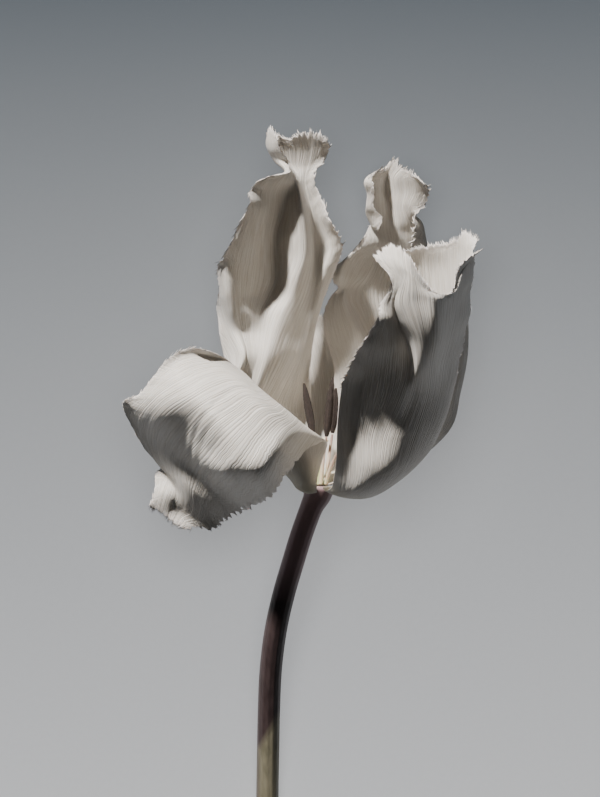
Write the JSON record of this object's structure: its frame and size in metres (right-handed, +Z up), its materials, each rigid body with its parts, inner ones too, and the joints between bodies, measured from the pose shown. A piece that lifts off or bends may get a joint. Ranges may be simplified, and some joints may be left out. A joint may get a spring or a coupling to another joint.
{
  "type": "tulip flower",
  "caption": "Cut fringed tulip lying on its back: a curved stem, wide open wavy petals with toothed edges, slim dark stamens and a small pistil.",
  "frame": {"origin": "middle of the flower's box, on the surface that it lies on", "axes": "+Z up from the surface, +Y from the cut end of the stem towards the petal tips, +X across the bloom"},
  "size_m": [0.0904, 0.1982, 0.0751],
  "materials": {
    "petal": "soft satin, finely veined, slightly translucent",
    "stem": "smooth, waxy",
    "filament": "smooth, moist",
    "anther": "dull, covered in pollen",
    "pistil": "smooth, waxy"
  },
  "bodies": {
    "root": {"petal_front_left": "petal", "petal_left": "petal", "petal_back_left": "petal", "petal_back_right": "petal", "petal_right": "petal", "petal_front_right": "petal", "stem": "stem", "pistil": "pistil", "filament_1": "filament", "filament_2": "filament", "filament_3": "filament", "filament_4": "filament", "filament_5": "filament", "filament_6": "filament", "anther_1": "anther", "anther_2": "anther", "anther_3": "anther", "anther_4": "anther", "anther_5": "anther", "anther_6": "anther"}
  },
  "joints": []
}
